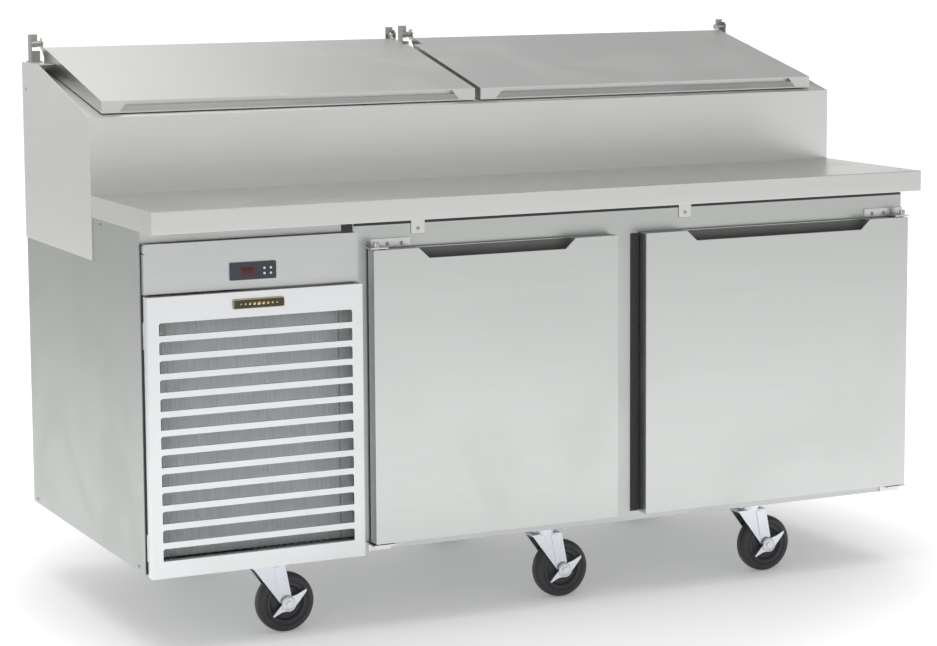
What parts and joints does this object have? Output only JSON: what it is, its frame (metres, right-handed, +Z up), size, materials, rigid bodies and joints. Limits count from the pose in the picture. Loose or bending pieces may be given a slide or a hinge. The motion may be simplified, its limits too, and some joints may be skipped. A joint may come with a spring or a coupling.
{
  "type": "refrigerated sandwich prep table",
  "caption": "Stainless prep table with two doors, a louvered machine bay, sloped lids over food pans behind the worktop, and swivel casters.",
  "frame": {"origin": "centre of the footprint, on the floor", "axes": "+X to the right along the length, +Y to the rear, +Z up; the front with doors faces -Y"},
  "size_m": [1.829, 0.876, 1.2348],
  "materials": {
    "steel_brushed": "brushed",
    "steel_back": "brushed",
    "steel_frame": "brushed",
    "steel_worktop": "brushed",
    "steel_rail": "brushed",
    "steel_lid": "brushed",
    "steel_door": "brushed",
    "steel_control": "brushed",
    "liner_steel": "satin",
    "pan_steel": "polished",
    "bracket_steel": "satin",
    "hinge_chrome": "polished",
    "galvanised": "spangled",
    "foam": "matte",
    "controller_plastic": "satin",
    "key_plastic": "gloss",
    "compressor_paint": "gloss",
    "motor_paint": "satin",
    "coil_aluminium": "finned",
    "fan_aluminium": "satin",
    "fan_plastic": "matte",
    "copper_tube": "drawn",
    "cover_paint": "satin",
    "shelf_wire": "coated",
    "zinc_plate": "zinc plated",
    "zinc_fork": "zinc plated",
    "zinc_brake": "zinc plated",
    "screw_steel": "machined",
    "door_plastic": "moulded",
    "gasket_rubber": "matte",
    "louver_paint": "satin",
    "badge_brass": "polished",
    "caster_rubber": "moulded"
  },
  "bodies": {
    "cabinet": {"side_left": "steel_brushed", "side_right": "steel_brushed", "rear_shell": "steel_back", "bay_frame": "steel_frame", "insulation": "foam", "liner": "liner_steel", "face_frame": "steel_frame", "machine_base": "galvanised", "worktop": "steel_worktop", "rail_housing": "steel_rail", "rail_liner": "liner_steel", "divider_bars": "pan_steel", "food_pans": "pan_steel", "lid_brackets": "bracket_steel", "door_hinges": "hinge_chrome", "louver_hinges": "hinge_chrome", "control_panel": "steel_control", "controller": "controller_plastic", "compressor": "compressor_paint", "condenser": "coil_aluminium", "condenser_motor": "motor_paint", "refrigerant_lines": "copper_tube", "evaporator": "coil_aluminium", "evaporator_cover": "cover_paint", "shelves": "shelf_wire", "caster_plates": "zinc_plate", "screws": "screw_steel"},
    "lid_left_body": {"lid_left": "steel_lid", "lid_left_liner": "liner_steel"},
    "lid_right_body": {"lid_right": "steel_lid", "lid_right_liner": "liner_steel"},
    "door_left_body": {"door_left": "steel_door", "door_left_core": "door_plastic", "door_left_gasket": "gasket_rubber"},
    "door_right_body": {"door_right": "steel_door", "door_right_core": "door_plastic", "door_right_gasket": "gasket_rubber"},
    "louver_body": {"louver_panel": "louver_paint", "badge": "badge_brass"},
    "key_up_body": {"key_up": "key_plastic"},
    "key_set_body": {"key_set": "key_plastic"},
    "key_down_body": {"key_down": "key_plastic"},
    "key_power_body": {"key_power": "key_plastic"},
    "condenser_fan_body": {"condenser_fan": "fan_aluminium"},
    "evaporator_fan_body": {"evaporator_fan": "fan_plastic"},
    "fork_front_left_body": {"fork_front_left": "zinc_fork"},
    "wheel_front_left_body": {"wheel_front_left": "caster_rubber"},
    "fork_front_mid_body": {"fork_front_mid": "zinc_fork"},
    "wheel_front_mid_body": {"wheel_front_mid": "caster_rubber"},
    "fork_front_right_body": {"fork_front_right": "zinc_fork"},
    "wheel_front_right_body": {"wheel_front_right": "caster_rubber"},
    "fork_rear_left_body": {"fork_rear_left": "zinc_fork"},
    "wheel_rear_left_body": {"wheel_rear_left": "caster_rubber"},
    "fork_rear_mid_body": {"fork_rear_mid": "zinc_fork"},
    "wheel_rear_mid_body": {"wheel_rear_mid": "caster_rubber"},
    "fork_rear_right_body": {"fork_rear_right": "zinc_fork"},
    "wheel_rear_right_body": {"wheel_rear_right": "caster_rubber"},
    "brake_left_body": {"brake_left": "zinc_brake"},
    "brake_mid_body": {"brake_mid": "zinc_brake"},
    "brake_right_body": {"brake_right": "zinc_brake"}
  },
  "joints": [
    {"name": "lid_left_hinge", "type": "hinge", "parent": "cabinet", "child": "lid_left_body", "pos_m": [-0.443, 0.404, 1.21373], "axis": [-1, 0, 0], "range_deg": [0, 108]},
    {"name": "lid_right_hinge", "type": "hinge", "parent": "cabinet", "child": "lid_right_body", "pos_m": [0.443, 0.404, 1.21373], "axis": [-1, 0, 0], "range_deg": [0, 108]},
    {"name": "door_left_hinge", "type": "hinge", "parent": "cabinet", "child": "door_left_body", "pos_m": [-0.4095, -0.388, 0.5], "axis": [0, 0, -1], "range_deg": [0, 120]},
    {"name": "door_right_hinge", "type": "hinge", "parent": "cabinet", "child": "door_right_body", "pos_m": [0.8985, -0.388, 0.5], "axis": [0, 0, 1], "range_deg": [0, 120]},
    {"name": "louver_hinge", "type": "hinge", "parent": "cabinet", "child": "louver_body", "pos_m": [-0.9055, -0.359, 0.45], "axis": [0, 0, -1], "range_deg": [0, 95]},
    {"name": "key_up_press", "type": "slide", "parent": "cabinet", "child": "key_up_body", "axis": [0, 1, 0], "range_m": [0, 0.001], "stiffness_N_per_m": 300},
    {"name": "key_set_press", "type": "slide", "parent": "cabinet", "child": "key_set_body", "axis": [0, 1, 0], "range_m": [0, 0.001], "stiffness_N_per_m": 300},
    {"name": "key_down_press", "type": "slide", "parent": "cabinet", "child": "key_down_body", "axis": [0, 1, 0], "range_m": [0, 0.001], "stiffness_N_per_m": 300},
    {"name": "key_power_press", "type": "slide", "parent": "cabinet", "child": "key_power_body", "axis": [0, 1, 0], "range_m": [0, 0.001], "stiffness_N_per_m": 300},
    {"name": "condenser_fan_spin", "type": "hinge", "parent": "cabinet", "child": "condenser_fan_body", "pos_m": [-0.6655, -0.266, 0.4445], "axis": [0, 1, 0], "continuous": true},
    {"name": "evaporator_fan_spin", "type": "hinge", "parent": "cabinet", "child": "evaporator_fan_body", "pos_m": [0.1555, 0.184, 0.742], "axis": [0, 1, 0], "continuous": true},
    {"name": "swivel_front_left", "type": "hinge", "parent": "cabinet", "child": "fork_front_left_body", "pos_m": [-0.6305, -0.303, 0.15], "axis": [0, 0, 1], "continuous": true},
    {"name": "roll_front_left", "type": "hinge", "parent": "fork_front_left_body", "child": "wheel_front_left_body", "pos_m": [-0.5915, -0.303, 0.0635], "axis": [0, 1, 0], "continuous": true},
    {"name": "swivel_front_mid", "type": "hinge", "parent": "cabinet", "child": "fork_front_mid_body", "pos_m": [0.0215, -0.303, 0.15], "axis": [0, 0, 1], "continuous": true},
    {"name": "roll_front_mid", "type": "hinge", "parent": "fork_front_mid_body", "child": "wheel_front_mid_body", "pos_m": [0.0605, -0.303, 0.0635], "axis": [0, 1, 0], "continuous": true},
    {"name": "swivel_front_right", "type": "hinge", "parent": "cabinet", "child": "fork_front_right_body", "pos_m": [0.5465, -0.303, 0.15], "axis": [0, 0, 1], "continuous": true},
    {"name": "roll_front_right", "type": "hinge", "parent": "fork_front_right_body", "child": "wheel_front_right_body", "pos_m": [0.5855, -0.303, 0.0635], "axis": [0, 1, 0], "continuous": true},
    {"name": "swivel_rear_left", "type": "hinge", "parent": "cabinet", "child": "fork_rear_left_body", "pos_m": [-0.6305, 0.307, 0.15], "axis": [0, 0, 1], "continuous": true},
    {"name": "roll_rear_left", "type": "hinge", "parent": "fork_rear_left_body", "child": "wheel_rear_left_body", "pos_m": [-0.5915, 0.307, 0.0635], "axis": [0, 1, 0], "continuous": true},
    {"name": "swivel_rear_mid", "type": "hinge", "parent": "cabinet", "child": "fork_rear_mid_body", "pos_m": [0.0215, 0.307, 0.15], "axis": [0, 0, 1], "continuous": true},
    {"name": "roll_rear_mid", "type": "hinge", "parent": "fork_rear_mid_body", "child": "wheel_rear_mid_body", "pos_m": [0.0605, 0.307, 0.0635], "axis": [0, 1, 0], "continuous": true},
    {"name": "swivel_rear_right", "type": "hinge", "parent": "cabinet", "child": "fork_rear_right_body", "pos_m": [0.5465, 0.307, 0.15], "axis": [0, 0, 1], "continuous": true},
    {"name": "roll_rear_right", "type": "hinge", "parent": "fork_rear_right_body", "child": "wheel_rear_right_body", "pos_m": [0.5855, 0.307, 0.0635], "axis": [0, 1, 0], "continuous": true},
    {"name": "brake_left_press", "type": "hinge", "parent": "fork_front_left_body", "child": "brake_left_body", "pos_m": [-0.5915, -0.333, 0.0635], "axis": [0, 1, 0], "range_deg": [-25, 25]},
    {"name": "brake_mid_press", "type": "hinge", "parent": "fork_front_mid_body", "child": "brake_mid_body", "pos_m": [0.0605, -0.333, 0.0635], "axis": [0, 1, 0], "range_deg": [-25, 25]},
    {"name": "brake_right_press", "type": "hinge", "parent": "fork_front_right_body", "child": "brake_right_body", "pos_m": [0.5855, -0.333, 0.0635], "axis": [0, 1, 0], "range_deg": [-25, 25]}
  ]
}
